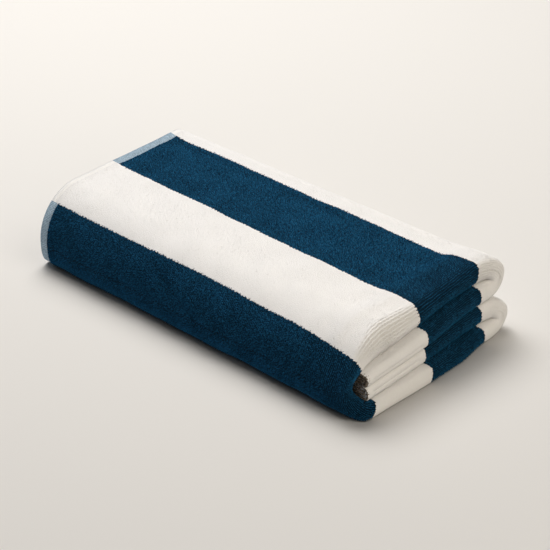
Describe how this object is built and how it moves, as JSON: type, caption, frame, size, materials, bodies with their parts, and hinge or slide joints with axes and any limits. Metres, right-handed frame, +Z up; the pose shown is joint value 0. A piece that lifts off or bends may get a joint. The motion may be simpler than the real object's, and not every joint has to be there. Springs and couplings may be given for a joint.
{
  "type": "beach towel",
  "caption": "Striped terry beach towel, folded into a thick rectangular bundle that lies flat.",
  "frame": {"origin": "under the middle of the folded bundle, on the plane it rests on", "axes": "+Z up out of the top of the bundle, X along the stripes with the hem end at -X and the fold end at +X, Y across the stripes with the rounded front fold at -Y"},
  "size_m": [0.4462, 0.2366, 0.0837],
  "materials": {
    "terry": "cotton loop pile on both faces, wide navy and white stripes dyed in the yarn, narrow flat-woven hems"
  },
  "bodies": {
    "root": {"towel": "terry"}
  },
  "joints": []
}
